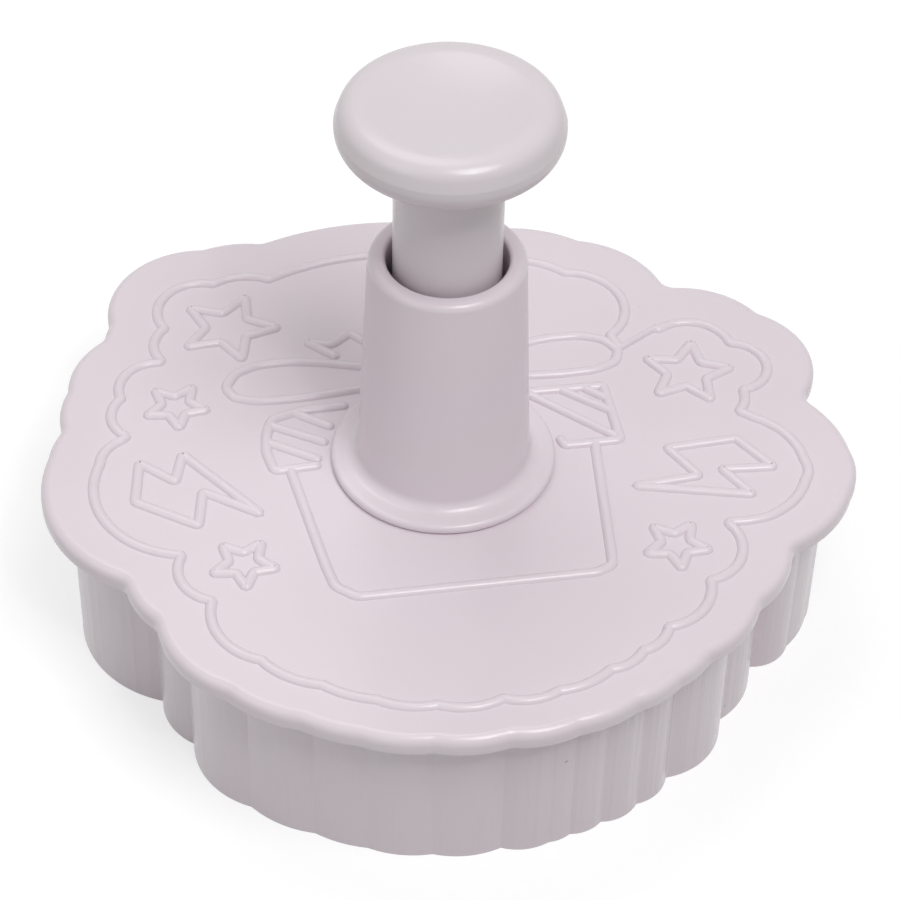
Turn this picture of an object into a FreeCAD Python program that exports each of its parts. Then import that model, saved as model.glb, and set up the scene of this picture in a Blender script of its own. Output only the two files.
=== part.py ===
import FreeCAD, Part
import math
import os

import Sketcher

# A hand press that cuts a cloud-shaped cake or cookie and stamps a picture into it.
# The shell stands on its cutting edge at z = 0. The plunger runs down the Z axis.
# All sizes are in millimetres, angles in degrees.

os.makedirs("parts", exist_ok=True)
doc = FreeCAD.newDocument("CloudPress")
Vector = FreeCAD.Vector

# Driving dimensions
SIZES = [
    ("cloud_width", 66.5), ("cloud_depth", 61.1), ("cloud_shift", 1.0),
    ("body_height", 19.0), ("plate_thickness", 2.0), ("lip_reach", 4.85),
    ("lip_chamfer", 0.7), ("lip_dip_rounding", 1.2),
    ("wall_reach", 2.2), ("wall_thickness", 1.2),
    ("line_width", 1.0), ("line_height", 0.5), ("line_root", 0.3),
    ("large_star_size", 4.8), ("middle_star_size", 4.3), ("small_star_size", 3.0),
    ("star_waist", 0.46),
    ("sleeve_rise", 24.6), ("sleeve_top_radius", 7.1), ("sleeve_foot_radius", 8.1),
    ("sleeve_bore_radius", 5.5), ("sleeve_rim_chamfer", 0.5), ("sleeve_foot_flare", 0.7),
    ("flange_radius", 10.5), ("flange_thickness", 1.0), ("flange_chamfer", 0.3), ("flange_clearance", 1.1),
    ("spigot_radius", 7.0), ("spigot_bore_radius", 5.0), ("spigot_clearance", 0.05),
    ("snap_bead", 0.35), ("snap_bead_height", 0.8), ("floor_thickness", 1.6), ("floor_drop", 1.0),
    ("guide_clearance", 0.1),
    ("knob_radius", 10.05), ("knob_thickness", 4.6), ("rim_chamfer", 1.2), ("rim_easing", 0.45),
    ("dish_radius", 7.9), ("dish_depth", 0.9), ("knob_lift", 11.9), ("shaft_radius", 4.8),
    ("shaft_reach", 7.4), ("shaft_end_chamfer", 0.3), ("stop_gap", 0.25),
    ("stamp_clearance", 0.4), ("stamp_thickness", 1.8), ("stamp_line_height", 0.8),
    ("boss_radius", 4.2), ("boss_clearance", 0.2), ("stem_seat", 1.0), ("stem_lead_in", 0.5),
    ("stem_radius", 2.5), ("stem_socket_depth", 13.0), ("stem_fit", 0.03), ("stem_end_gap", 0.5),
    ("spring_wire", 0.6), ("spring_radius", 3.9), ("spring_seat_gap", 0.05), ("spring_turns", 5),
    ("spring_end_gap", 0.45),
]

sheet = doc.addObject("Spreadsheet::Sheet", "Dimensions")
for row, (alias, value) in enumerate(SIZES, start=1):
    sheet.set("A%d" % row, alias.replace("_", " "))
    sheet.set("B%d" % row, str(value))
    sheet.setAlias("B%d" % row, alias)
doc.recompute()


def size(alias):
    return float(sheet.get(alias))


def cell(expression):
    """Puts the sheet's name before every alias in an expression."""
    words = []
    for word in expression.split():
        words.append("Dimensions." + word if word in dict(SIZES) else word)
    return " ".join(words)


# Heights along the plunger's axis, as expressions of the sheet
PLATE_TOP = "body_height"
PLATE_UNDERSIDE = "body_height - plate_thickness"
SLEEVE_TOP = PLATE_TOP + " + sleeve_rise"
SLEEVE_END = PLATE_UNDERSIDE + " - snap_bead_height"
FLOOR_TOP = PLATE_TOP + " + flange_thickness - floor_drop"
FLOOR_UNDERSIDE = FLOOR_TOP + " - floor_thickness"
KNOB_UNDERSIDE = SLEEVE_TOP + " + knob_lift"
KNOB_TOP = KNOB_UNDERSIDE + " + knob_thickness"
SHAFT_END = SLEEVE_TOP + " - shaft_reach"
SOCKET_END = SHAFT_END + " + stem_socket_depth"
STAMP_TOP = SLEEVE_END + " - stop_gap"
STEM_START = STAMP_TOP + " - stem_seat"
STEM_END = SOCKET_END + " - stem_end_gap"


def level(expression):
    """The value of an expression of sums and differences of the sheet's sizes."""
    total = 0.0
    sign = 1.0
    for word in expression.split():
        if word in "+-":
            sign = 1.0 if word == "+" else -1.0
        else:
            total += sign * size(word)
    return total


# The cloud: round puffs, each with its centre and radius, drawn at DRAWN_WIDTH by DRAWN_DEPTH
DRAWN_WIDTH = 66.5
DRAWN_DEPTH = 61.1
PUFFS = [
    (2.8, -25.6, 5.5), (5.5, -22.9, 7.5), (10.4, -24.7, 3.9), (13.1, -23.4, 3.5), (16.2, -19.2, 5.2),
    (20.8, -14.9, 4.5), (26.3, -5.1, 7.3), (27.6, -9.0, 3.25), (30.8, -6.1, 2.9), (28.4, -4.2, 4.4),
    (26.6, -2.0, 4.7), (26.4, 4.7, 3.7), (29.8, 8.4, 3.4), (26.2, 11.3, 4.2), (15.7, 19.0, 5.5),
    (10.5, 19.5, 7.6), (4.6, 20.3, 8.8), (-3.2, 6.2, 23.6), (-16.2, 23.1, 5.2), (-20.6, 23.6, 4.25),
    (-22.1, 18.8, 3.5), (-25.8, 13.0, 3.65), (-26.9, 9.4, 3.55), (-28.3, 2.8, 3.7), (-23.7, -0.6, 9.1),
    (-28.9, -2.0, 3.6), (-23.4, -1.2, 7.0), (-21.9, -11.7, 4.1), (-17.4, -17.5, 6.2), (-12.8, -18.9, 8.2),
    (-8.1, -19.5, 9.95), (-6.0, -22.7, 7.85), (-2.3, -24.4, 6.8),
]


def drawn(x, y):
    """A point of the drawing at the sheet's width and depth."""
    return Vector(x * size("cloud_width") / DRAWN_WIDTH, y * size("cloud_depth") / DRAWN_DEPTH, 0)


def puff_radius(radius):
    stretch = size("cloud_width") / DRAWN_WIDTH + size("cloud_depth") / DRAWN_DEPTH
    return radius * stretch / 2


def cloud_face(reach, shift):
    """The cloud grown by reach all round, and moved back by shift."""
    centres = [drawn(x, y) + Vector(0, shift, 0) for x, y, radius in PUFFS]
    core = Part.Face(Part.makePolygon(centres + centres[:1]))
    discs = []
    for centre, (x, y, radius) in zip(centres, PUFFS):
        ring = Part.Circle(centre, Vector(0, 0, 1), puff_radius(radius) + reach)
        discs.append(Part.Face(Part.Wire(ring.toShape())))
    merged = core.fuse(discs).removeSplitter()
    return Part.Face(merged.Faces[0].OuterWire)


# Raised figures: open and closed lines of the drawing
STARS = [
    (-18.1, 20.8, 64, "large_star_size"), (-24.2, 10.2, 54, "small_star_size"),
    (-20.0, -11.4, 52, "small_star_size"), (25.3, 8.2, 1, "middle_star_size"),
    (19.3, -14.5, 51, "small_star_size"),
]
LEFT_BOLT = [(-28.3, 2.9), (-25.2, 0.0), (-24.2, 3.5), (-17.8, -5.3), (-22.8, -1.7), (-23.6, -6.0), (-29.1, -2.2)]
RIGHT_BOLT = [(21.1, -1.9), (27.8, -1.5), (30.5, -5.8), (25.6, -5.4), (27.7, -9.1), (17.1, -6.5), (23.3, -6.0)]

# The gift box with two open flaps: its outline, its panels and the stripes on the flaps
GIFT_OUTLINE = [
    (-15.9, 0.0), (-14.4, -0.1), (-12.7, -12.8), (-12.2, -15.4), (-10.4, -16.9), (11.5, -16.9), (13.0, -16.2),
    (13.2, -14.6), (14.5, -0.2), (17.0, -0.2), (16.8, 7.5), (9.4, 7.6), (5.0, 5.0), (-5.0, 5.0), (-7.9, 8.1),
    (-12.6, 8.0), (-15.4, 7.1), (-16.1, 5.2), (-16.4, 2.8),
]
BOX_PANEL = [(-14.4, -0.1), (-12.7, -12.8), (-12.2, -15.4), (-10.4, -16.9), (11.5, -16.9), (13.0, -16.2),
             (13.2, -14.6), (14.5, -0.2)]
LEFT_FLAP = [(-15.9, 0.0), (-16.4, 2.8), (-16.1, 5.2), (-15.4, 7.1), (-12.6, 8.0), (-7.9, 8.1), (-5.0, 5.0),
             (-5.0, 0.0)]
RIGHT_FLAP = [(5.0, -0.2), (17.0, -0.2), (16.8, 7.5), (9.4, 7.6), (5.0, 5.0)]
LEFT_STRIPES = [[(-17.3, 5.1), (-9.4, -0.5)], [(-17.0, 7.2), (-8.0, 1.6)], [(-14.5, 8.7), (-7.0, 3.1)]]
RIGHT_STRIPES = [[(8.0, 8.4), (17.6, -0.9)], [(11.9, 7.9), (17.6, 3.0)]]

# The bow on top, drawn for its right half: outline, loop and tail
BOW_OUTLINE = [
    (2.6, 14.0), (2.9, 12.5), (9.0, 14.3), (12.4, 15.0), (15.8, 15.0), (18.2, 14.0), (19.3, 12.2), (18.6, 10.6),
    (16.4, 9.8), (12.6, 9.7), (9.0, 10.0), (3.0, 10.6), (3.0, 9.4),
]
BOW_LOOP = BOW_OUTLINE[1:12]
BOW_KNOT = [(2.6, 14.0), (3.0, 9.4)]
BOW_TAIL = [(3.7, 15.4), (6.4, 18.4), (8.4, 16.9), (10.8, 17.7), (8.3, 15.3)]


def outline(points):
    return Part.makePolygon(points + points[:1])


def panel(points):
    """The flat room inside a closed line of the sheet's width."""
    return Part.Face(outline(points).makeOffset2D(-size("line_width") / 2, 2))


def framed(points, panels):
    """A closed line of the sheet's width, with everything inside it raised but for the panels."""
    return Part.Face(outline(points).makeOffset2D(size("line_width") / 2, 0)).cut(panels)


def bar(start, end):
    """A straight line with round ends."""
    along = (end - start).normalize() * (size("line_width") / 2)
    side = along.cross(Vector(0, 0, 1))
    edges = [
        Part.LineSegment(start + side, end + side),
        Part.Arc(end + side, end + along, end - side),
        Part.LineSegment(end - side, start - side),
        Part.Arc(start - side, start - along, start + side),
    ]
    return Part.Face(Part.Wire([edge.toShape() for edge in edges]))


def open_line(points):
    """A bent line with round ends."""
    wire = Part.makePolygon(points)
    return Part.Face(wire.makeOffset2D(size("line_width") / 2, 0, False, False))


def star_points(x, y, turn, span):
    points = []
    for corner in range(10):
        angle = math.radians(turn + 36 * corner)
        reach = span if corner % 2 == 0 else span * size("star_waist")
        points.append(drawn(x, y) + Vector(reach * math.cos(angle), reach * math.sin(angle), 0))
    return points


def drawn_line(points, side=1):
    return [drawn(side * x, y) for x, y in points]


def mirrored(points):
    """A whole outline from its right half."""
    return drawn_line(points) + drawn_line(points, -1)[::-1]


def picture_faces():
    figures = [star_points(x, y, turn, size(alias)) for x, y, turn, alias in STARS]
    figures += [drawn_line(LEFT_BOLT), drawn_line(RIGHT_BOLT)]
    faces = [framed(points, [panel(points)]) for points in figures]
    panels = [panel(drawn_line(BOX_PANEL))]
    for flap, stripes in ((LEFT_FLAP, LEFT_STRIPES), (RIGHT_FLAP, RIGHT_STRIPES)):
        panels += panel(drawn_line(flap)).cut([bar(*drawn_line(stripe)) for stripe in stripes]).Faces
    faces.append(framed(drawn_line(GIFT_OUTLINE), panels))
    loops = [panel(drawn_line(BOW_LOOP, side)) for side in (1, -1)]
    faces.append(framed(mirrored(BOW_OUTLINE), loops + [panel(mirrored(BOW_KNOT))]))
    faces += [open_line(drawn_line(BOW_TAIL, side)) for side in (1, -1)]
    return Part.makeCompound(faces)


def add_face(name, face):
    holder = doc.addObject("Part::Feature", name)
    holder.Shape = face
    return holder


def add_extrusion(name, base, length, bottom=None):
    """Pulls a flat face up by one sheet expression, from the level of another or from z = 0."""
    body = doc.addObject("Part::Extrusion", name)
    body.Base = base
    body.DirMode = "Custom"
    body.Dir = Vector(0, 0, 1)
    body.Solid = True
    body.setExpression("LengthFwd", cell(length))
    if bottom:
        body.setExpression("Placement.Base.z", cell(bottom))
    return body


def add_cylinder(name, radius, height, bottom):
    cylinder = doc.addObject("Part::Cylinder", name)
    cylinder.setExpression("Radius", cell(radius))
    cylinder.setExpression("Height", cell(height))
    cylinder.setExpression("Placement.Base.z", cell(bottom))
    return cylinder


def add_join(name, base, tool):
    join = doc.addObject("Part::Fuse", name)
    join.Base = base
    join.Tool = tool
    join.Refine = True
    return join


def add_cut(name, base, tool):
    cut = doc.addObject("Part::Cut", name)
    cut.Base = base
    cut.Tool = tool
    cut.Refine = True
    return cut


def add_edge_work(kind, name, base, width, chosen):
    """Rounds or chamfers the edges of base that chosen picks."""
    doc.recompute()
    work = doc.addObject(kind, name)
    work.Base = base
    edges = []
    for number, edge in enumerate(base.Shape.Edges, start=1):
        if chosen(edge):
            edges.append((number, width, width))
    work.Edges = edges
    return work


def flat_at(z):
    """Picks the edges that lie flat at height z."""
    return lambda edge: abs(edge.BoundBox.ZMin - z) < 1e-4 and abs(edge.BoundBox.ZMax - z) < 1e-4


def upright(edge):
    return edge.BoundBox.ZLength > 0.5 and edge.BoundBox.DiagonalLength < edge.BoundBox.ZLength + 1e-4


# Cutter shell: lip plate, cutting wall and raised lines in one moulding
def make_cutter_shell():
    shift = size("cloud_shift")
    wall_reach = size("wall_reach")
    wall_inside = wall_reach - size("wall_thickness")
    lip = add_extrusion("LipPlate", add_face("LipOutline", cloud_face(size("lip_reach"), shift)),
                        "plate_thickness", PLATE_UNDERSIDE)
    lip = add_edge_work("Part::Fillet", "LipDips", lip, size("lip_dip_rounding"), upright)
    lip = add_edge_work("Part::Chamfer", "LipEdge", lip, size("lip_chamfer"), flat_at(level(PLATE_TOP)))
    wall = add_extrusion("WallBlock", add_face("WallOutline", cloud_face(wall_reach, shift)), PLATE_UNDERSIDE)
    hollow = add_extrusion("WallHollow", add_face("HollowOutline", cloud_face(wall_inside, shift)), PLATE_UNDERSIDE)
    ring = add_cut("WallRing", wall, hollow)
    half = size("line_width") / 2
    border = cloud_face(half, 0).cut(cloud_face(-half, 0))
    root = PLATE_TOP + " - line_root"
    border_line = add_extrusion("BorderLine", add_face("BorderFace", border), "line_height + line_root", root)
    seat = Part.Circle(Vector(0, 0, 0), Vector(0, 0, 1), size("flange_radius") + size("flange_clearance"))
    face = picture_faces().cut(Part.Face(Part.Wire(seat.toShape())))
    picture = add_extrusion("PictureLines", add_face("PictureFaces", face), "line_height + line_root", root)
    whole = add_join("LipAndWall", lip, ring)
    whole = add_join("WithBorder", whole, border_line)
    whole = add_join("WithPicture", whole, picture)
    hole = add_cylinder("SpigotHole", "spigot_radius + spigot_clearance",
                        "plate_thickness + line_height + line_height", PLATE_UNDERSIDE)
    shell = add_cut("CutterShell", whole, hole)
    shell.Label = "cutter_shell"
    return shell


# Turned pieces: a half profile in the XZ plane, each corner bound to the sheet
def origin_plane(body, role):
    return [feature for feature in body.Origin.OriginFeatures if feature.Role == role][0]


def turned_body(name, corners):
    """A body of revolution about Z. Each corner is (radius expression, height expression)."""
    body = doc.addObject("PartDesign::Body", name)
    sketch = body.newObject("Sketcher::SketchObject", name + "Profile")
    sketch.AttachmentSupport = (origin_plane(body, "XZ_Plane"), "")
    sketch.MapMode = "FlatFace"
    points = [Vector(level(radius) if radius else 0.0, level(height), 0) for radius, height in corners]
    count = len(points)
    for number in range(count):
        sketch.addGeometry(Part.LineSegment(points[number], points[(number + 1) % count]), False)
    for number in range(count):
        sketch.addConstraint(Sketcher.Constraint("Coincident", number, 2, (number + 1) % count, 1))
    for number, (radius, height) in enumerate(corners):
        if radius:
            index = sketch.addConstraint(Sketcher.Constraint("DistanceX", -1, 1, number, 1, points[number].x))
            sketch.setExpression("Constraints[%d]" % index, cell(radius))
        else:
            sketch.addConstraint(Sketcher.Constraint("PointOnObject", number, 1, -2))
        index = sketch.addConstraint(Sketcher.Constraint("DistanceY", -1, 1, number, 1, points[number].y))
        sketch.setExpression("Constraints[%d]" % index, cell(height))
    turn = body.newObject("PartDesign::Revolution", name + "Turn")
    turn.Profile = sketch
    turn.ReferenceAxis = (sketch, ["V_Axis"])
    turn.Angle = 360
    doc.recompute()
    return body


def break_rings(body, name, width_alias, wanted):
    """Chamfers the circular edges of a turned body at the wanted (radius, height) places."""
    tip = body.Tip
    names = []
    for number, edge in enumerate(tip.Shape.Edges, start=1):
        box = edge.BoundBox
        for radius, height in wanted:
            if abs(box.XMax - level(radius)) < 1e-3 and abs(box.ZMin - level(height)) < 1e-3 and box.ZLength < 1e-3:
                names.append("Edge%d" % number)
    chamfer = body.newObject("PartDesign::Chamfer", name)
    chamfer.Base = (tip, names)
    chamfer.setExpression("Size", cell(width_alias))
    doc.recompute()
    return chamfer


def ease_rim(body, name, radius, height, down):
    """A rim rounded in three flats. Down is the way along the axis from the rim's edge into the piece."""
    break_rings(body, name + "Break", "rim_chamfer", [(radius, height)])
    corners = [(radius + " - rim_chamfer", height), (radius, height + down + "rim_chamfer")]
    break_rings(body, name + "Ease", "rim_easing", corners)


# Handle sleeve: tapered turret on a flange, with a spigot that snaps in under the plate
def make_handle_sleeve():
    flange_top = PLATE_TOP + " + flange_thickness"
    bead = "spigot_radius + snap_bead"
    guide = "stem_radius + guide_clearance"
    corners = [
        (guide, FLOOR_TOP), (guide, FLOOR_UNDERSIDE), ("spigot_bore_radius", FLOOR_UNDERSIDE),
        ("spigot_bore_radius", SLEEVE_END), ("spigot_radius", SLEEVE_END), (bead, PLATE_UNDERSIDE),
        ("spigot_radius", PLATE_UNDERSIDE), ("spigot_radius", PLATE_TOP), ("flange_radius", PLATE_TOP),
        ("flange_radius", flange_top), ("sleeve_foot_radius", flange_top), ("sleeve_top_radius", SLEEVE_TOP),
        ("sleeve_bore_radius", SLEEVE_TOP), ("sleeve_bore_radius", FLOOR_TOP),
    ]
    body = turned_body("HandleSleeve", corners)
    break_rings(body, "FootFlare", "sleeve_foot_flare", [("sleeve_foot_radius", flange_top)])
    break_rings(body, "RimChamfer", "sleeve_rim_chamfer", [("sleeve_top_radius", SLEEVE_TOP)])
    break_rings(body, "FlangeChamfer", "flange_chamfer", [("flange_radius", flange_top)])
    body.Label = "handle_sleeve"
    return body


# Push knob: dished mushroom head and a hollow shaft, one moulding
def make_push_knob():
    socket = "stem_radius + stem_fit"
    corners = [
        ("", KNOB_TOP), ("knob_radius", KNOB_TOP), ("knob_radius", KNOB_UNDERSIDE),
        ("shaft_radius", KNOB_UNDERSIDE), ("shaft_radius", SHAFT_END), (socket, SHAFT_END),
        (socket, SOCKET_END), ("", SOCKET_END),
    ]
    body = turned_body("PushKnob", corners)
    sphere = "( dish_radius * dish_radius + dish_depth * dish_depth ) / ( 2 * dish_depth )"
    dish = body.newObject("PartDesign::SubtractiveSphere", "Dish")
    dish.setExpression("Radius", cell(sphere))
    dish.setExpression("Placement.Base.z", cell(KNOB_TOP + " - dish_depth + " + sphere))
    doc.recompute()
    ease_rim(body, "TopRim", "knob_radius", KNOB_TOP, " - ")
    ease_rim(body, "LowerRim", "knob_radius", KNOB_UNDERSIDE, " + ")
    break_rings(body, "ShaftEndChamfer", "shaft_end_chamfer", [("shaft_radius", SHAFT_END)])
    body.Label = "push_knob"
    return body


# Stamp plate: the cloud-shaped embossing plate with raised lines below, and a boss that seats the stem
def make_stamp_plate():
    reach = size("wall_reach") - size("wall_thickness") - size("stamp_clearance")
    underside = STAMP_TOP + " - stamp_thickness"
    plate = add_extrusion("StampBlank", add_face("StampOutline", cloud_face(reach, size("cloud_shift"))),
                          "stamp_thickness", underside)
    lines = add_extrusion("StampLines", add_face("StampPicture", picture_faces()), "stamp_line_height + line_root",
                          underside + " - stamp_line_height")
    printed = add_join("PrintedPlate", plate, lines)
    boss_height = FLOOR_UNDERSIDE + " - boss_clearance - ( " + STAMP_TOP + " )"
    boss = add_cylinder("StampBoss", "boss_radius", boss_height, STAMP_TOP)
    seat = add_cylinder("StemSeat", "stem_radius + stem_fit", boss_height + " + stem_seat", STEM_START)
    stamp = add_cut("StampPlate", add_join("PlateAndBoss", printed, boss), seat)
    stamp.Label = "stamp_plate"
    return stamp


# Plunger stem: the rod from the stamp's boss up through the floor and the spring into the knob's shaft
def make_plunger_stem():
    rod = add_cylinder("StemRod", "stem_radius", STEM_END + " - ( " + STEM_START + " )", STEM_START)
    stem = add_edge_work("Part::Chamfer", "PlungerStem", rod, size("stem_lead_in"), flat_at(level(STEM_END)))
    stem.Label = "plunger_stem"
    return stem


# Return spring: one steel wire wound round the stem, closer at both ends
SECTION_CORNERS = 5
SAMPLES_PER_TURN = 60


def least_gap(path, turns, wire):
    """The least gap between the wire's turns, measured on points along its middle."""
    points = path.discretize(Number=int(turns) * SAMPLES_PER_TURN)
    least = min((first - second).Length
                for number, first in enumerate(points)
                for second in points[number + SAMPLES_PER_TURN // 2:])
    return least - wire


def spring_nodes():
    """A point and a tangent every half turn, from the floor up to the knob's shaft."""
    wire = size("spring_wire")
    radius = size("spring_radius")
    bottom = level(FLOOR_TOP) + size("spring_seat_gap") + wire / 2
    top = level(SHAFT_END) - size("spring_seat_gap") - wire / 2
    steps = 2 * int(size("spring_turns"))
    close_pitch = wire + size("spring_end_gap")
    close = [step <= 2 or step >= steps - 2 for step in range(steps + 1)]
    shares = [0.25 if step in (0, steps) else 0.5 for step in range(steps + 1)]
    close_share = sum(share for share, flag in zip(shares, close) if flag)
    open_share = sum(share for share, flag in zip(shares, close) if not flag)
    open_pitch = (top - bottom - close_share * close_pitch) / open_share
    pitches = [close_pitch if flag else open_pitch for flag in close]
    nodes = []
    height = bottom
    for step, pitch in enumerate(pitches):
        if step:
            height += (pitches[step - 1] + pitch) / 4
        angle = math.pi * step
        point = Vector(radius * math.cos(angle), radius * math.sin(angle), height)
        tangent = Vector(-math.sin(angle), math.cos(angle), pitch / (2 * math.pi * radius)).normalize()
        nodes.append((point, tangent))
    return nodes


def tangent_arc(start, corner, end):
    """The arc from start to end whose end tangents meet at corner."""
    middle = (start + end) / 2
    cosine = (middle - start).Length / (corner - start).Length
    return Part.Arc(start, middle + (corner - middle) * (cosine / (1 + cosine)), end).toShape()


def biarc(start, start_way, end, end_way):
    """Two arcs that leave start and reach end along the given ways."""
    gap = end - start
    ways = start_way + end_way
    square = 2 * (1 - start_way.dot(end_way))
    reach = (math.sqrt(gap.dot(ways) ** 2 + square * gap.dot(gap)) - gap.dot(ways)) / square
    first = start + start_way * reach
    second = end - end_way * reach
    joint = (first + second) / 2
    return [tangent_arc(start, first, joint), tangent_arc(joint, second, end)]


def make_return_spring():
    nodes = spring_nodes()
    arcs = []
    for (start, start_way), (end, end_way) in zip(nodes, nodes[1:]):
        arcs += biarc(start, start_way, end, end_way)
    path = Part.Wire(arcs)
    print("return_spring: least gap %.2f mm" % least_gap(path, size("spring_turns"), size("spring_wire")))
    point, way = nodes[0]
    out = Vector(1, 0, 0)
    up = way.cross(out)
    ring = []
    for corner in range(SECTION_CORNERS + 1):
        angle = 2 * math.pi * corner / SECTION_CORNERS
        ring.append(point + (out * math.cos(angle) + up * math.sin(angle)) * (size("spring_wire") / 2))
    shell = Part.BRepOffsetAPI.MakePipeShell(path)
    shell.add(Part.makePolygon(ring))
    shell.build()
    shell.makeSolid()
    spring = doc.addObject("Part::Feature", "ReturnSpring")
    spring.Shape = shell.shape()
    spring.Label = "return_spring"
    return spring


subparts = [
    make_cutter_shell(), make_handle_sleeve(), make_push_knob(), make_stamp_plate(), make_plunger_stem(),
    make_return_spring(),
]
doc.recompute()
for item in doc.Objects:
    if "Invalid" in item.State or "Error" in item.State:
        raise RuntimeError("%s failed: %s" % (item.Name, item.getStatusString()))
for item in subparts:
    if item.Shape.isNull() or not item.Shape.isValid() or len(item.Shape.Solids) != 1:
        raise RuntimeError("%s isn't one valid solid" % item.Label)
for item in subparts:
    item.Shape.exportStep("parts/%s.step" % item.Label)
    print("%s: %.1f mm3" % (item.Label, item.Shape.Volume))
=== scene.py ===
import math

import bmesh
import bpy
from mathutils import Matrix, Vector


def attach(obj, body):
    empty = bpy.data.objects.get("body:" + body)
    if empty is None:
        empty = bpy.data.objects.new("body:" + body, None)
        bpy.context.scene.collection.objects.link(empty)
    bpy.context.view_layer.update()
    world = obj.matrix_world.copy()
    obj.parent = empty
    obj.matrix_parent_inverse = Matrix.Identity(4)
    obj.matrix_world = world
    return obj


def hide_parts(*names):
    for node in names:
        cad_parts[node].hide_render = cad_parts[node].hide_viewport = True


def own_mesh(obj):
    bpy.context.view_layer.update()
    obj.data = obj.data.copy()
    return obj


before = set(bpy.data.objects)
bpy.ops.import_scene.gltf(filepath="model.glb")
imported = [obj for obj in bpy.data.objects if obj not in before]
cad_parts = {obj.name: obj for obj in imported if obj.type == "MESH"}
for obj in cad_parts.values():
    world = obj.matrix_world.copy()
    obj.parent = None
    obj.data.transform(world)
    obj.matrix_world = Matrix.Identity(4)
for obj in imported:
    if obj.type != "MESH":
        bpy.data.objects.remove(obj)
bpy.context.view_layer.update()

MM = 0.001
scene = bpy.context.scene

# Camera: a long lens that looks down on the press from the front left, tipped a little
CAMERA_PLACE = Vector((-33.45, -193.35, 208.3)) * MM
CAMERA_TURN = math.radians(-10)
CAMERA_DIP = math.radians(43.85)
CAMERA_TIP = math.radians(1.405)

camera_data = bpy.data.cameras.new("camera")
camera_data.lens = 116
camera_data.sensor_width = 36
camera = bpy.data.objects.new("camera", camera_data)
scene.collection.objects.link(camera)
camera.matrix_world = (
    Matrix.Translation(CAMERA_PLACE)
    @ Matrix.Rotation(CAMERA_TURN, 4, "Z")
    @ Matrix.Rotation(math.pi / 2 - CAMERA_DIP, 4, "X")
    @ Matrix.Rotation(CAMERA_TIP, 4, "Z")
)
scene.camera = camera


# Cutter shell: one injection moulding in pale lilac plastic. A cloud-edged plate with a rounded lip,
# raised round lines on top, and a thin scalloped cutting wall below, which a second cavity block forms.
PLATE_TOP = 19.0
PLATE_THICKNESS = 2.0
LIP_REACH = 4.85
LIP_ROUNDING = 0.95
LIP_UNDER_ROUNDING = 0.3
LIP_DIP_RADIUS = 1.6
CLOUD_SHIFT = 1.0
WALL_REACH = 2.2
WALL_THICKNESS = 1.2
WALL_DIP_RADIUS = 0.2
EDGE_LAND = 0.6
EDGE_BEVEL_HEIGHT = 1.5
SPIGOT_HOLE_RADIUS = 7.05
LINE_RADIUS = 0.56
LINE_SINK = 0.12
PUFFS = [
    (2.8, -25.6, 5.5), (5.5, -22.9, 7.5), (10.4, -24.7, 3.9), (13.1, -23.4, 3.5), (16.2, -19.2, 5.2),
    (20.8, -14.9, 4.5), (26.3, -5.1, 7.3), (27.6, -9.0, 3.25), (30.8, -6.1, 2.9), (28.4, -4.2, 4.4),
    (26.6, -2.0, 4.7), (26.4, 4.7, 3.7), (29.8, 8.4, 3.4), (26.2, 11.3, 4.2), (15.7, 19.0, 5.5),
    (10.5, 19.5, 7.6), (4.6, 20.3, 8.8), (-3.2, 6.2, 23.6), (-16.2, 23.1, 5.2), (-20.6, 23.6, 4.25),
    (-22.1, 18.8, 3.5), (-25.8, 13.0, 3.65), (-26.9, 9.4, 3.55), (-28.3, 2.8, 3.7), (-23.7, -0.6, 9.1),
    (-28.9, -2.0, 3.6), (-23.4, -1.2, 7.0), (-21.9, -11.7, 4.1), (-17.4, -17.5, 6.2), (-12.8, -18.9, 8.2),
    (-8.1, -19.5, 9.95), (-6.0, -22.7, 7.85), (-2.3, -24.4, 6.8),
]
RAY_COUNT = 720
CORNER_HALVINGS = 30
CORNER_STEP = 0.15
LEAST_STEP = 0.02


def ray_end(puffs, angle, grow):
    """Where a ray from the axis leaves the cloud grown by grow, and the puff it leaves."""
    way = Vector((math.cos(angle), math.sin(angle)))
    best = (0.0, 0)
    for number, (x, y, radius) in enumerate(puffs):
        centre = Vector((x, y))
        aside = way.cross(centre)
        room = (radius + grow) ** 2 - aside ** 2
        if room > 0:
            best = max(best, (way.dot(centre) + math.sqrt(room), number))
    return way * best[0], best[1]


def cloud_line(reach, dip_radius, shift=0.0, puffs=PUFFS):
    """The cloud's edge grown by reach, anticlockwise, with the dips between puffs filled to dip_radius."""
    grow = reach + dip_radius
    points = []

    def add_point(place, normal):
        points.append(place - normal * dip_radius + Vector((0, shift)))

    def outward(place, number):
        return (place - Vector(puffs[number][:2])).normalized()

    for step in range(RAY_COUNT):
        start = 2 * math.pi * step / RAY_COUNT
        end = 2 * math.pi * (step + 1) / RAY_COUNT
        place, number = ray_end(puffs, start, grow)
        add_point(place, outward(place, number))
        following = ray_end(puffs, end, grow)[1]
        if following == number:
            continue
        for halving in range(CORNER_HALVINGS):
            middle = (start + end) / 2
            if ray_end(puffs, middle, grow)[1] == number:
                start = middle
            else:
                end = middle
        corner = ray_end(puffs, start, grow)[0]
        first = outward(corner, number)
        turn = first.angle_signed(outward(corner, ray_end(puffs, end, grow)[1]))
        count = max(2, int(abs(turn) / CORNER_STEP))
        for part in range(count + 1):
            add_point(corner, Matrix.Rotation(-turn * part / count, 2) @ first)
    before_each = points[-1:] + points[:-1]
    return [point for point, before in zip(points, before_each) if (point - before).length > LEAST_STEP]


def deselect_all():
    if bpy.context.object and bpy.context.object.mode != "OBJECT":
        bpy.ops.object.mode_set(mode="OBJECT")
    bpy.ops.object.select_all(action="DESELECT")


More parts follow.
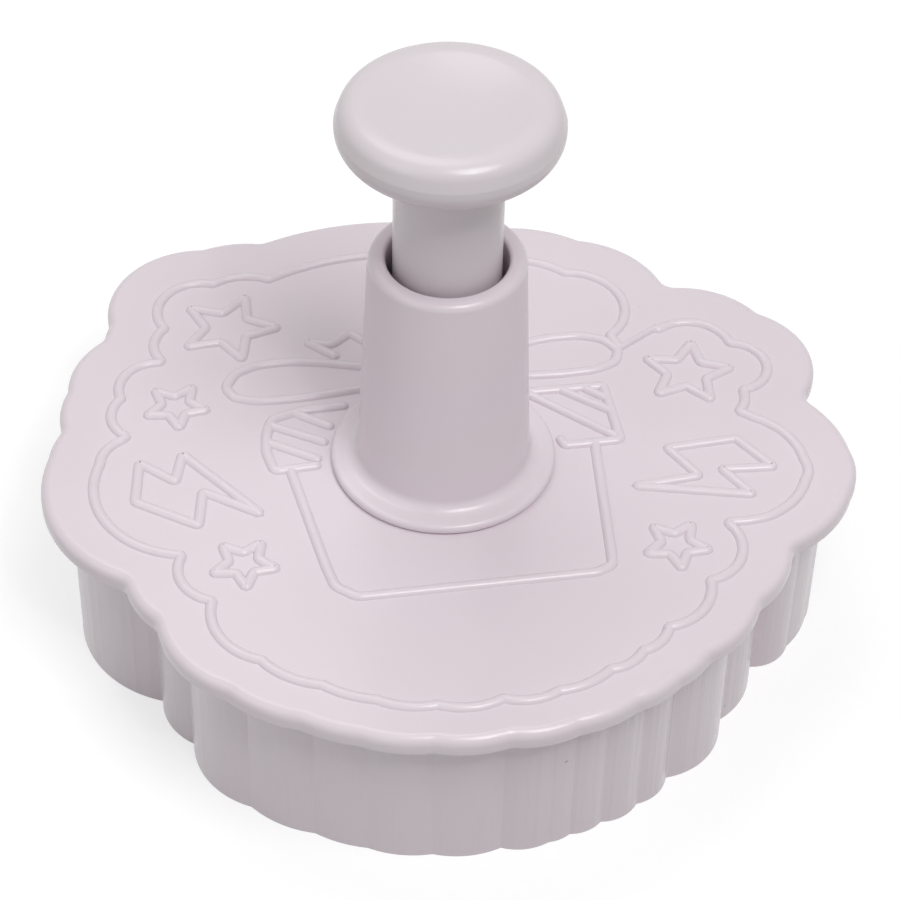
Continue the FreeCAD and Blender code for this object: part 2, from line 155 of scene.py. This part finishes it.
def make_active(piece):
    deselect_all()
    piece.select_set(True)
    bpy.context.view_layer.objects.active = piece


def new_piece(name, vertices, edges, faces):
    """A mesh object from places in millimetres."""
    mesh = bpy.data.meshes.new(name)
    mesh.from_pydata([Vector(place) * MM for place in vertices], edges, faces)
    piece = bpy.data.objects.new(name, mesh)
    scene.collection.objects.link(piece)
    make_active(piece)
    return piece


def apply_modifier(piece, kind, **settings):
    make_active(piece)
    bpy.ops.object.modifier_add(type=kind)
    modifier = piece.modifiers[-1]
    for key, value in settings.items():
        setattr(modifier, key, value)
    bpy.ops.object.modifier_apply(modifier=modifier.name)


def select_edges(piece, wanted):
    """Leaves the piece in edit mode with the wanted edges selected."""
    make_active(piece)
    bpy.ops.object.mode_set(mode="EDIT")
    bpy.ops.mesh.select_mode(type="EDGE")
    bpy.ops.mesh.select_all(action="DESELECT")
    form = bmesh.from_edit_mesh(piece.data)
    for edge in form.edges:
        if wanted(edge):
            edge.select = True
    form.select_flush_mode()
    bmesh.update_edit_mesh(piece.data)


def flat_rim(height):
    """Picks the edges round a flat top or bottom at a height in millimetres."""
    def wanted(edge):
        level = all(abs(corner.co.z - height * MM) < 1e-6 for corner in edge.verts)
        return level and any(abs(face.normal.z) < 0.5 for face in edge.link_faces)
    return wanted


def bevel_selected(width, segments):
    bpy.ops.mesh.bevel(offset=width * MM, segments=segments, profile=0.5, clamp_overlap=False)
    bpy.ops.object.mode_set(mode="OBJECT")


def slab(name, line, bottom, thickness):
    """A flat plate with the given edge line."""
    count = len(line)
    piece = new_piece(name, [(x, y, bottom) for x, y in line], [], [list(range(count))[::-1]])
    bpy.ops.object.mode_set(mode="EDIT")
    bpy.ops.mesh.select_all(action="SELECT")
    bpy.ops.mesh.extrude_region_move(TRANSFORM_OT_translate={"value": (0, 0, thickness * MM)})
    bpy.ops.mesh.select_all(action="SELECT")
    bpy.ops.mesh.normals_make_consistent(inside=False)
    bpy.ops.object.mode_set(mode="OBJECT")
    return piece


def cut_away(piece, tool):
    apply_modifier(piece, "BOOLEAN", operation="DIFFERENCE", solver="EXACT", object=tool)
    bpy.data.objects.remove(tool)


def drum(name, radius, bottom, height, sides=96):
    deselect_all()
    bpy.ops.mesh.primitive_cylinder_add(
        vertices=sides, radius=radius * MM, depth=height * MM, location=(0, 0, (bottom + height / 2) * MM))
    piece = bpy.context.object
    piece.name = name
    bpy.ops.object.transform_apply(location=True, rotation=True, scale=True)
    return piece


def soften(piece, angle=35):
    make_active(piece)
    bpy.ops.object.shade_smooth_by_angle(angle=math.radians(angle))
    apply_modifier(piece, "WEIGHTED_NORMAL", keep_sharp=True, weight=90)


lip_plate = slab("cutter_shell_moulding", cloud_line(LIP_REACH, LIP_DIP_RADIUS, CLOUD_SHIFT),
                 PLATE_TOP - PLATE_THICKNESS, PLATE_THICKNESS)
select_edges(lip_plate, flat_rim(PLATE_TOP))
bevel_selected(LIP_ROUNDING, 8)
select_edges(lip_plate, flat_rim(PLATE_TOP - PLATE_THICKNESS))
bevel_selected(LIP_UNDER_ROUNDING, 3)
spigot_hole = drum("spigot_hole", SPIGOT_HOLE_RADIUS, PLATE_TOP - 2 * PLATE_THICKNESS, 3 * PLATE_THICKNESS)
cut_away(lip_plate, spigot_hole)

# The cutting wall stands under the plate and thins to a narrow land at its edge. Its puffs are the plate's,
# but smaller and closer along the front right.
SHARED_PUFFS = [puff for puff in PUFFS if not (puff[0] > 2 and puff[1] < -14) and puff != (27.6, -9.0, 3.25)]
WALL_PUFFS = SHARED_PUFFS + [
    (2.8, -28.1, 3.1), (5.1, -29.6, 1.1), (7.6, -28.6, 1.5), (10.7, -27.5, 1.6), (13.4, -25.7, 1.8),
    (16.8, -20.2, 4.6), (20.2, -13.9, 5.5), (28.8, -10.9, 1.6),
]


def wall_line(reach):
    return cloud_line(reach, WALL_DIP_RADIUS, CLOUD_SHIFT, WALL_PUFFS)


CUT_START = -1
wall_room_height = PLATE_TOP - PLATE_THICKNESS - CUT_START
wall = slab("cutting_wall", wall_line(WALL_REACH), 0, PLATE_TOP - PLATE_THICKNESS / 2)
cut_away(wall, slab("wall_room", wall_line(WALL_REACH - WALL_THICKNESS), CUT_START, wall_room_height))
cut_away(wall, slab("edge_room", wall_line(WALL_REACH - EDGE_LAND), CUT_START, EDGE_BEVEL_HEIGHT - CUT_START))

# Raised lines: half-round beads on the plate
STARS = [
    (-18.1, 20.8, 64, 4.8), (-24.2, 10.2, 54, 3.0), (-20.0, -11.4, 52, 3.0),
    (25.3, 8.2, 1, 4.3), (19.3, -14.5, 51, 3.0),
]
STAR_WAIST = 0.46
BOLTS = [
    [(-28.3, 2.9), (-25.2, 0.0), (-24.2, 3.5), (-17.8, -5.3), (-22.8, -1.7), (-23.6, -6.0), (-29.1, -2.2)],
    [(21.1, -1.9), (27.8, -1.5), (30.5, -5.8), (25.6, -5.4), (27.7, -9.1), (17.1, -6.5), (23.3, -6.0)],
]
BOX_LINES = [
    [(-14.4, -0.1), (-12.7, -12.8), (-12.2, -15.4), (-10.4, -16.9),
     (11.5, -16.9), (13.0, -16.2), (13.2, -14.6), (14.5, -0.2)],
    [(-12.0, 0.3), (-15.9, 0.1), (-16.4, 2.8), (-16.1, 5.2), (-15.4, 7.1), (-12.6, 8.0), (-8.4, 8.1)],
    [(-15.9, 3.9), (-11.8, 1.2)], [(-15.4, 6.2), (-10.9, 3.4)], [(-13.1, 7.7), (-10.1, 5.5)],
    [(11.4, 0.6), (11.6, -0.2), (17.0, -0.2), (16.8, 7.5), (9.4, 7.6)],
    [(9.6, 7.1), (16.6, 0.4)], [(12.8, 7.3), (16.7, 4.0)], [(15.1, 7.2), (16.6, 5.8)],
]
BOW_LOOP = [
    (2.9, 12.5), (9.0, 14.3), (12.4, 15.0), (15.8, 15.0), (18.2, 14.0), (19.3, 12.2),
    (18.6, 10.6), (16.4, 9.8), (12.6, 9.7), (9.0, 10.0), (3.0, 10.6),
]
BOW_KNOT = [(2.6, 14.0), (3.0, 9.4), (-3.0, 9.4), (-2.6, 14.0)]
BOW_TAIL = [(3.7, 15.4), (6.4, 18.4), (8.4, 16.9), (10.8, 17.7), (8.3, 15.3)]
CORNER_PARTS = 4
BEAD_END_ANGLES = (8, 28, 48, 68, 88)


def eased(points, closed, radius):
    """The same line with its corners turned into short curves."""
    count = len(points)
    result = []
    for number, point in enumerate(points):
        place = Vector(point)
        if not closed and number in (0, count - 1):
            result.append(place)
            continue
        before = Vector(points[number - 1]) - place
        after = Vector(points[(number + 1) % count]) - place
        reach = min(radius, before.length / 3, after.length / 3)
        start = place + before.normalized() * reach
        end = place + after.normalized() * reach
        for part in range(CORNER_PARTS + 1):
            share = part / CORNER_PARTS
            result.append(start.lerp(place, share).lerp(place.lerp(end, share), share))
    return result


def bead_line(name, points, closed, height=PLATE_TOP - LINE_SINK, radius=LINE_RADIUS):
    """A round bead along a line, with rounded ends if it is open."""
    curve = bpy.data.curves.new(name, "CURVE")
    curve.dimensions = "3D"
    curve.bevel_depth = radius * MM
    curve.bevel_resolution = 4
    curve.use_fill_caps = not closed
    spline = curve.splines.new("POLY")
    rows = [(point.x, point.y, 1.0) for point in points]
    if not closed:
        rows = bead_end(points[0], points[1], radius) + rows + bead_end(points[-1], points[-2], radius)[::-1]
    spline.points.add(len(rows) - 1)
    for point, (x, y, share) in zip(spline.points, rows):
        point.co = (x * MM, y * MM, height * MM, 1)
        point.radius = share
    spline.use_cyclic_u = closed
    bead = bpy.data.objects.new(name, curve)
    scene.collection.objects.link(bead)
    make_active(bead)
    bpy.ops.object.convert(target="MESH")
    return bead


def bead_end(end, inner, radius):
    """The points of a half-ball end, from its tip inwards, each with its share of the bead's radius."""
    way = (end - inner).normalized()
    rows = []
    for degrees in BEAD_END_ANGLES:
        angle = math.radians(degrees)
        place = end + way * (radius * math.cos(angle))
        rows.append((place.x, place.y, math.sin(angle)))
    return rows


def star_line(x, y, turn, size):
    points = []
    for corner in range(10):
        angle = math.radians(turn + 36 * corner)
        reach = size if corner % 2 == 0 else size * STAR_WAIST
        points.append((x + reach * math.cos(angle), y + reach * math.sin(angle)))
    return points


def mirrored(points):
    return [(-x, y) for x, y in points]


beads = [bead_line("border_bead", cloud_line(0, 0.3), True)]
for star in STARS:
    beads.append(bead_line("star_bead", eased(star_line(*star), True, 0.3), True))
for bolt in BOLTS:
    beads.append(bead_line("bolt_bead", eased(bolt, True, 0.35), True))
for line in BOX_LINES:
    beads.append(bead_line("box_bead", eased(line, False, 0.5), False))
for loop in (BOW_LOOP, mirrored(BOW_LOOP), BOW_KNOT):
    beads.append(bead_line("bow_bead", eased(loop, True, 1.2), True))
for tail in (BOW_TAIL, mirrored(BOW_TAIL)):
    beads.append(bead_line("bow_tail_bead", eased(tail, False, 0.5), False))


def join(pieces, name):
    make_active(pieces[0])
    for piece in pieces[1:]:
        piece.select_set(True)
    bpy.ops.object.join()
    pieces[0].name = name
    return pieces[0]


soften(lip_plate)
soften(wall, 25)
for bead in beads:
    soften(bead, 60)
shell = join([lip_plate, wall] + beads, "cutter_shell_moulding")


class Field:
    """A socket of a material, with the arithmetic that the finishes here use."""

    def __init__(self, tree, socket):
        self.tree = tree
        self.socket = socket

    def maths(self, operation, *values):
        return self.tree.add("ShaderNodeMath", {"operation": operation}, dict(enumerate(values)))[0]

    def __add__(self, other):
        return self.maths("ADD", self, other)

    def __mul__(self, other):
        return self.maths("MULTIPLY", self, other)

    __radd__ = __add__
    __rmul__ = __mul__


class Finish:
    """A material under construction: one method adds any node and gives its outputs."""

    def __init__(self, name):
        self.material = bpy.data.materials.new(name)
        self.material.use_nodes = True
        self.nodes = self.material.node_tree.nodes
        self.links = self.material.node_tree.links
        self.shader = self.nodes["Principled BSDF"]

    def add(self, kind, settings, inputs):
        node = self.nodes.new(kind)
        for key, value in settings.items():
            if key == "stops":
                self.set_stops(node.color_ramp, value)
            else:
                setattr(node, key, value)
        for key, value in inputs.items():
            self.feed(node.inputs[key], value)
        return [Field(self, socket) for socket in node.outputs if socket.enabled]

    def set_stops(self, ramp, stops):
        while len(ramp.elements) < len(stops):
            ramp.elements.new(1.0)
        for element, (place, value) in zip(ramp.elements, stops):
            element.position = place
            element.color = (value, value, value, 1)

    def feed(self, socket, value):
        if isinstance(value, Field):
            self.links.new(value.socket, socket)
        else:
            socket.default_value = value

    def set(self, **inputs):
        for key, value in inputs.items():
            self.feed(self.shader.inputs[key.replace("_", " ")], value)


def noise(finish, place, scale, detail=2.0, roughness=0.5):
    return finish.add("ShaderNodeTexNoise", {}, {"Vector": place, "Scale": scale, "Detail": detail,
                                                "Roughness": roughness})[0]


def stretched(finish, place, scale):
    return finish.add("ShaderNodeMapping", {}, {"Vector": place, "Scale": scale})[0]


def ramp(finish, value, *stops):
    return finish.add("ShaderNodeValToRGB", {"stops": stops}, {"Fac": value})[0]


def mixed(finish, factor, first, second):
    return finish.add("ShaderNodeMix", {"data_type": "RGBA"}, {0: factor, 6: first, 7: second})[0]


def moulded_plastic(name, colour, shade, tool_marks):
    """Semi-gloss plastic: slow flow marks in the colour, a soft orange peel and a few specks of dust.
    tool_marks gives the upright lines that the cutter left in the wall's cavity block."""
    finish = Finish(name)
    place = finish.add("ShaderNodeTexCoord", {}, {})[3]
    upright = stretched(finish, place, (1.0, 1.0, 0.35))
    flow = ramp(finish, noise(finish, upright, 55, 3), (0.3, 0.0), (0.7, 1.0))
    specks = ramp(finish, noise(finish, place, 900, 1), (0.155, 1.0), (0.175, 0.0))
    tone = mixed(finish, flow, colour, shade)
    finish.set(Base_Color=mixed(finish, specks * 0.45, tone, (0.22, 0.17, 0.18, 1)))
    smears = noise(finish, place, 140, 4, 0.6)
    finish.set(Roughness=0.21 + smears * 0.07)
    height = noise(finish, place, 700, 2) * 0.25 + flow * 0.5
    if tool_marks:
        height = height + tool_marks(finish, place)
    bump = finish.add("ShaderNodeBump", {}, {"Strength": 0.16, "Distance": 0.0004, "Height": height})[0]
    finish.set(Normal=bump, IOR=1.49)
    return finish.material


WALL_MARK_TOP = PLATE_TOP - PLATE_THICKNESS


def wall_marks(finish, place):
    """Fine upright lines, on the wall only: strongest on the front right, where they were milled."""
    x, y, z = finish.add("ShaderNodeSeparateXYZ", {}, {"Vector": place})
    fine = noise(finish, stretched(finish, place, (1.0, 1.0, 0.004)), 1500, 1)
    broad = noise(finish, stretched(finish, place, (1.0, 1.0, 0.004)), 420, 2)
    below = ramp(finish, z * (1 / 0.03), ((WALL_MARK_TOP - 0.2) / 30, 1.0), (WALL_MARK_TOP / 30, 0.0))
    right = ramp(finish, x * (1 / 0.08) + 0.5, (0.48, 0.35), (0.56, 1.0), (0.74, 1.0), (0.8, 0.4))
    return (fine * right * 3.0 + broad * 2.2) * below


SHELL_COLOUR = (0.800, 0.722, 0.768, 1)
SHELL_SHADE = (0.782, 0.698, 0.745, 1)
shell_finish = moulded_plastic("shell_plastic_moulded", SHELL_COLOUR, SHELL_SHADE, wall_marks)
shell.data.materials.clear()
shell.data.materials.append(shell_finish)
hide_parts("cutter_shell")
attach(shell, "shell")


# Handle sleeve: a turned-looking moulding, a tapered turret on a thin round flange. Its spigot goes through
# the plate and snaps in under it, and a floor with a guide hole inside carries the spring.
FLANGE_RADIUS = 10.5
FLANGE_TOP = PLATE_TOP + 1.0
TURRET_FOOT_RADIUS = 8.1
TURRET_TOP_RADIUS = 7.1
SLEEVE_TOP = 43.6
BORE_RADIUS = 5.5
FLOOR_TOP = 19.0
FLOOR_UNDERSIDE = 17.4
GUIDE_HOLE_RADIUS = 2.6
SPIGOT_RADIUS = 7.0
SPIGOT_ROOM_RADIUS = 5.0
SNAP_RADIUS = 7.3
SLEEVE_END = 16.2
SEAT_GAP = 0.02
SEAT_HEIGHT = PLATE_TOP + SEAT_GAP
SNAP_HEIGHT = PLATE_TOP - PLATE_THICKNESS - SEAT_GAP
SLEEVE_PROFILE = [
    (GUIDE_HOLE_RADIUS, FLOOR_TOP, 0.1), (GUIDE_HOLE_RADIUS, FLOOR_UNDERSIDE, 0.1),
    (SPIGOT_ROOM_RADIUS, FLOOR_UNDERSIDE, 0.2), (SPIGOT_ROOM_RADIUS, SLEEVE_END, 0.15),
    (SPIGOT_RADIUS, SLEEVE_END, 0.15), (SNAP_RADIUS, SNAP_HEIGHT, 0.1), (SPIGOT_RADIUS, SNAP_HEIGHT, 0),
    (SPIGOT_RADIUS, SEAT_HEIGHT, 0), (FLANGE_RADIUS, SEAT_HEIGHT, 0.4), (FLANGE_RADIUS, FLANGE_TOP, 0.45),
    (TURRET_FOOT_RADIUS, FLANGE_TOP, 1.1), (TURRET_TOP_RADIUS, SLEEVE_TOP, 0.75),
    (BORE_RADIUS, SLEEVE_TOP, 0.45), (BORE_RADIUS, FLOOR_TOP, 0.2),
]
ARC_STEPS_PER_MM = 9


def rounded_profile(profile, closed):
    """Points of (radius, height) from corners of (radius, height, rounding), each turned into its arc."""
    count = len(profile)
    result = []
    for number, (radius, height, rounding) in enumerate(profile):
        corner = Vector((radius, height))
        if rounding == 0 or (not closed and number in (0, count - 1)):
            result.append(corner)
            continue
        before = (Vector(profile[number - 1][:2]) - corner).normalized()
        after = (Vector(profile[(number + 1) % count][:2]) - corner).normalized()
        half = before.angle(after) / 2
        centre = corner + (before + after).normalized() * (rounding / math.sin(half))
        first = corner + before * (rounding / math.tan(half)) - centre
        last = corner + after * (rounding / math.tan(half)) - centre
        turn = first.angle_signed(last)
        steps = max(3, int(rounding * ARC_STEPS_PER_MM))
        for step in range(steps + 1):
            result.append(centre + Matrix.Rotation(-turn * step / steps, 2) @ first)
    return result


def turned(name, points, closed, sides=128):
    """Spins a profile of (radius, height) round the plunger's axis."""
    count = len(points)
    edges = [(number, number + 1) for number in range(count - 1)]
    if closed:
        edges.append((count - 1, 0))
    piece = new_piece(name, [(radius, 0, height) for radius, height in points], edges, [])
    bpy.ops.object.mode_set(mode="EDIT")
    bpy.ops.mesh.select_all(action="SELECT")
    bpy.ops.mesh.spin(steps=sides, angle=2 * math.pi, center=(0, 0, 0), axis=(0, 0, 1), use_auto_merge=True)
    bpy.ops.mesh.select_all(action="SELECT")
    bpy.ops.mesh.remove_doubles(threshold=1e-6)
    bpy.ops.mesh.normals_make_consistent(inside=False)
    bpy.ops.object.mode_set(mode="OBJECT")
    return piece


sleeve = turned("handle_sleeve_moulding", rounded_profile(SLEEVE_PROFILE, True), True)
soften(sleeve)
sleeve.data.materials.append(moulded_plastic("sleeve_plastic_moulded", SHELL_COLOUR, SHELL_SHADE, None))
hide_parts("handle_sleeve")
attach(sleeve, "shell")


# Push knob: a mushroom head with a thumb dish on a hollow shaft, one moulding in the same lilac plastic.
# Its socket takes the stamp's stem, and the shaft slides in the sleeve.
KNOB_RADIUS = 9.95
SHAFT_RADIUS = 4.88
KNOB_UNDERSIDE = 55.65
KNOB_WIDEST = 58.35
KNOB_TOP = 60.55
RIM_RADIUS = 9.3
RIM_HEIGHT = 60.25
SHAFT_END = 36.2
STEM_RADIUS = 2.5
STEM_FIT = 0.03
SOCKET_RADIUS = STEM_RADIUS + STEM_FIT
SOCKET_TOP = SHAFT_END + 13.0
DISH_RADIUS = 7.4
DISH_DEPTH = 0.85
DISH_STEPS = 14
dish_sphere = (DISH_RADIUS ** 2 + DISH_DEPTH ** 2) / (2 * DISH_DEPTH)
KNOB_PROFILE = [
    (DISH_RADIUS, KNOB_TOP, 3.0), (RIM_RADIUS, RIM_HEIGHT, 1.8), (KNOB_RADIUS, KNOB_WIDEST, 0.6),
    (KNOB_RADIUS, KNOB_UNDERSIDE, 2.3), (SHAFT_RADIUS, KNOB_UNDERSIDE, 0.4), (SHAFT_RADIUS, SHAFT_END, 0.25),
    (SOCKET_RADIUS, SHAFT_END, 0.15), (SOCKET_RADIUS, SOCKET_TOP, 0.3), (0.0, SOCKET_TOP, 0),
]
dish_points = []
for step in range(DISH_STEPS):
    radius = DISH_RADIUS * step / DISH_STEPS
    rise = dish_sphere - math.sqrt(dish_sphere ** 2 - radius ** 2)
    dish_points.append((radius, KNOB_TOP - DISH_DEPTH + rise, 0))
knob = turned("push_knob_moulding", rounded_profile(dish_points + KNOB_PROFILE, False), False)
soften(knob)
PLUNGER_COLOUR = (0.735, 0.672, 0.703, 1)
PLUNGER_SHADE = (0.718, 0.653, 0.684, 1)
knob.data.materials.append(moulded_plastic("knob_plastic_moulded", PLUNGER_COLOUR, PLUNGER_SHADE, None))
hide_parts("push_knob")
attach(knob, "plunger")


# Stamp plate: the cloud-shaped plate that embosses the dough. It hangs inside the cutting wall with a
# running gap, raised lines on its underside press the picture, and a boss on top seats the stem.
STAMP_CLEARANCE = 0.4
STAMP_TOP = 15.95
STAMP_THICKNESS = 1.8
STAMP_EDGE_ROUNDING = 0.25
STAMP_LINE_HEIGHT = 0.8
STEM_START = 14.95
BOSS_RADIUS = 4.2
BOSS_TOP = 17.2
BOSS_SINK = 0.3
stamp_reach = WALL_REACH - WALL_THICKNESS - STAMP_CLEARANCE
stamp_bottom = STAMP_TOP - STAMP_THICKNESS
stamp = slab("stamp_plate_moulding", cloud_line(stamp_reach, WALL_DIP_RADIUS, CLOUD_SHIFT), stamp_bottom,
             STAMP_THICKNESS)
select_edges(stamp, flat_rim(stamp_bottom))
bevel_selected(STAMP_EDGE_ROUNDING, 3)
cut_away(stamp, drum("stem_seat", SOCKET_RADIUS, STEM_START, STAMP_TOP - STEM_START + 1, 64))
soften(stamp)
boss_foot = STAMP_TOP - BOSS_SINK
boss_profile = [
    (SOCKET_RADIUS, boss_foot, 0), (BOSS_RADIUS, boss_foot, 0), (BOSS_RADIUS, BOSS_TOP, 0.3),
    (SOCKET_RADIUS, BOSS_TOP, 0.15),
]
boss = turned("stamp_boss", rounded_profile(boss_profile, True), True, 64)
soften(boss)
line_level = stamp_bottom - STAMP_LINE_HEIGHT + LINE_RADIUS
stamp_beads = []
for star in STARS:
    stamp_beads.append(bead_line("stamp_star", eased(star_line(*star), True, 0.3), True, line_level))
for loop in BOLTS + [BOW_LOOP, mirrored(BOW_LOOP), BOW_KNOT]:
    stamp_beads.append(bead_line("stamp_figure", eased(loop, True, 0.4), True, line_level))
for line in BOX_LINES + [BOW_TAIL, mirrored(BOW_TAIL)]:
    stamp_beads.append(bead_line("stamp_line", eased(line, False, 0.5), False, line_level))
for bead in stamp_beads:
    soften(bead, 60)
stamp = join([stamp, boss] + stamp_beads, "stamp_plate_moulding")
stamp.data.materials.clear()
stamp_finish = moulded_plastic("stamp_plastic_moulded", PLUNGER_COLOUR, PLUNGER_SHADE, None)
stamp.data.materials.append(stamp_finish)
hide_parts("stamp_plate")
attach(stamp, "plunger")


# Plunger stem: a plain moulded rod, pressed into the stamp's boss and the socket of the knob's shaft.
# It runs through the sleeve's floor and the spring.
STEM_END = 48.7
stem_profile = [
    (0.0, STEM_START, 0), (STEM_RADIUS, STEM_START, 0.15), (STEM_RADIUS, STEM_END, 0.4), (0.0, STEM_END, 0),
]
stem = turned("plunger_stem_moulding", rounded_profile(stem_profile, False), False, 64)
soften(stem)
stem.data.materials.append(stamp_finish)
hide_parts("plunger_stem")
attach(stem, "plunger")


# Return spring: drawn steel wire coiled cold, closer at both ends. It stands on the sleeve's floor round
# the stem and pushes up on the knob's shaft.
SPRING_RADIUS = 3.9
SPRING_WIRE = 0.6
SPRING_TURNS = 5
SPRING_END_PITCH = 1.05
SPRING_END_STEPS = 2
SPRING_GAP = 0.05
PARTS_PER_STEP = 16
spring_bottom = FLOOR_TOP + SPRING_GAP + SPRING_WIRE / 2
spring_top = SHAFT_END - SPRING_GAP - SPRING_WIRE / 2
spring_steps = 2 * SPRING_TURNS
pitches = []
for step in range(spring_steps + 1):
    near_an_end = step <= SPRING_END_STEPS or step >= spring_steps - SPRING_END_STEPS
    pitches.append(SPRING_END_PITCH if near_an_end else 0.0)
end_share = sum(0.25 if step in (0, spring_steps) else 0.5 for step, pitch in enumerate(pitches) if pitch)
open_share = SPRING_TURNS - end_share
open_pitch = (spring_top - spring_bottom - end_share * SPRING_END_PITCH) / open_share
pitches = [pitch or open_pitch for pitch in pitches]

spring_curve = bpy.data.curves.new("return_spring_wire", "CURVE")
spring_curve.dimensions = "3D"
spring_curve.bevel_depth = SPRING_WIRE / 2 * MM
spring_curve.bevel_resolution = 3
spring_curve.use_fill_caps = True
coil = spring_curve.splines.new("POLY")
coil_points = []
height = spring_bottom
for step in range(spring_steps):
    following = height + (pitches[step] + pitches[step + 1]) / 4
    for part in range(PARTS_PER_STEP + (step == spring_steps - 1)):
        share = part / PARTS_PER_STEP
        angle = math.pi * (step + share)
        rise = height + (following - height) * share
        coil_points.append((SPRING_RADIUS * math.cos(angle), SPRING_RADIUS * math.sin(angle), rise))
    height = following
coil.points.add(len(coil_points) - 1)
for point, (x, y, z) in zip(coil.points, coil_points):
    point.co = (x * MM, y * MM, z * MM, 1)
spring = bpy.data.objects.new("return_spring_wire", spring_curve)
scene.collection.objects.link(spring)
make_active(spring)
bpy.ops.object.convert(target="MESH")
soften(spring, 60)

steel = Finish("spring_steel_drawn")
steel_place = steel.add("ShaderNodeTexCoord", {}, {})[3]
drawn_marks = noise(steel, stretched(steel, steel_place, (1.0, 1.0, 6.0)), 1400, 2)
steel.set(Base_Color=mixed(steel, drawn_marks, (0.60, 0.60, 0.61, 1), (0.50, 0.50, 0.52, 1)))
steel.set(Metallic=1.0, Roughness=0.22 + drawn_marks * 0.18)
steel_bump = steel.add("ShaderNodeBump", {}, {"Strength": 0.2, "Distance": 0.00005, "Height": drawn_marks})[0]
steel.set(Normal=steel_bump)
spring.data.materials.append(steel.material)
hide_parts("return_spring")
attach(spring, "shell")
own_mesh(spring)


# Studio: a pale floor that a camera sees as paper white, with the press's soft shadow on it. Wide soft lights
# stand above the front, above the back and on the left, and a small one at the front gives thin highlights.
FLOOR_LIFT = 0.58
deselect_all()
bpy.ops.mesh.primitive_plane_add(size=4.0, location=(0, 0, 0))
floor = bpy.context.object
floor.name = "studio_floor"
floor_finish = Finish("studio_white")
floor_finish.set(Base_Color=(0.5, 0.5, 0.5, 1), Roughness=0.9, Emission_Color=(1, 1, 1, 1))
ray_kinds = floor_finish.add("ShaderNodeLightPath", {}, {})
floor_seen, glossy_ray, transmission_ray = ray_kinds[0], ray_kinds[3], ray_kinds[6]
for other_ray in (glossy_ray, transmission_ray):
    floor_seen = floor_seen.maths("MAXIMUM", floor_seen, other_ray)
floor_finish.set(Emission_Strength=floor_seen * FLOOR_LIFT)
floor.data.materials.append(floor_finish.material)


def soft_light(name, place, power, width, aim=(0, 0, 0.02)):
    data = bpy.data.lights.new(name, "AREA")
    data.energy = power
    data.shape = "DISK"
    data.size = width
    lamp = bpy.data.objects.new(name, data)
    scene.collection.objects.link(lamp)
    lamp.location = place
    lamp.rotation_euler = (Vector(aim) - Vector(place)).to_track_quat("-Z", "Y").to_euler()


soft_light("front_top_light", (0.17, -0.33, 0.75), 2.6, 0.4)
soft_light("highlight", (0.14, -0.45, 0.70), 0.3, 0.05)
soft_light("back_top_light", (-0.10, 0.32, 0.75), 1.2, 0.5)
soft_light("left_light", (-0.45, -0.20, 0.40), 0.35, 0.4)

WORLD_LIGHT = 0.34
WORLD_SEEN = 1.0
world = bpy.data.worlds.new("studio_world")
scene.world = world
world.use_nodes = True
world_nodes = world.node_tree.nodes
world_links = world.node_tree.links
ray_kind = world_nodes.new("ShaderNodeLightPath")
background = world_nodes["Background"]
background.inputs["Color"].default_value = (1, 1, 1, 1)
seen = world_nodes.new("ShaderNodeMath")
seen.operation = "MAXIMUM"
seen_or_glossy = world_nodes.new("ShaderNodeMath")
seen_or_glossy.operation = "MAXIMUM"
world_links.new(ray_kind.outputs["Is Camera Ray"], seen_or_glossy.inputs[0])
world_links.new(ray_kind.outputs["Is Glossy Ray"], seen_or_glossy.inputs[1])
world_links.new(seen_or_glossy.outputs[0], seen.inputs[0])
world_links.new(ray_kind.outputs["Is Transmission Ray"], seen.inputs[1])
strength = world_nodes.new("ShaderNodeMapRange")
strength.inputs["To Min"].default_value = WORLD_LIGHT
strength.inputs["To Max"].default_value = WORLD_SEEN
world_links.new(seen.outputs[0], strength.inputs["Value"])
world_links.new(strength.outputs[0], background.inputs["Strength"])

scene.view_settings.view_transform = "Standard"
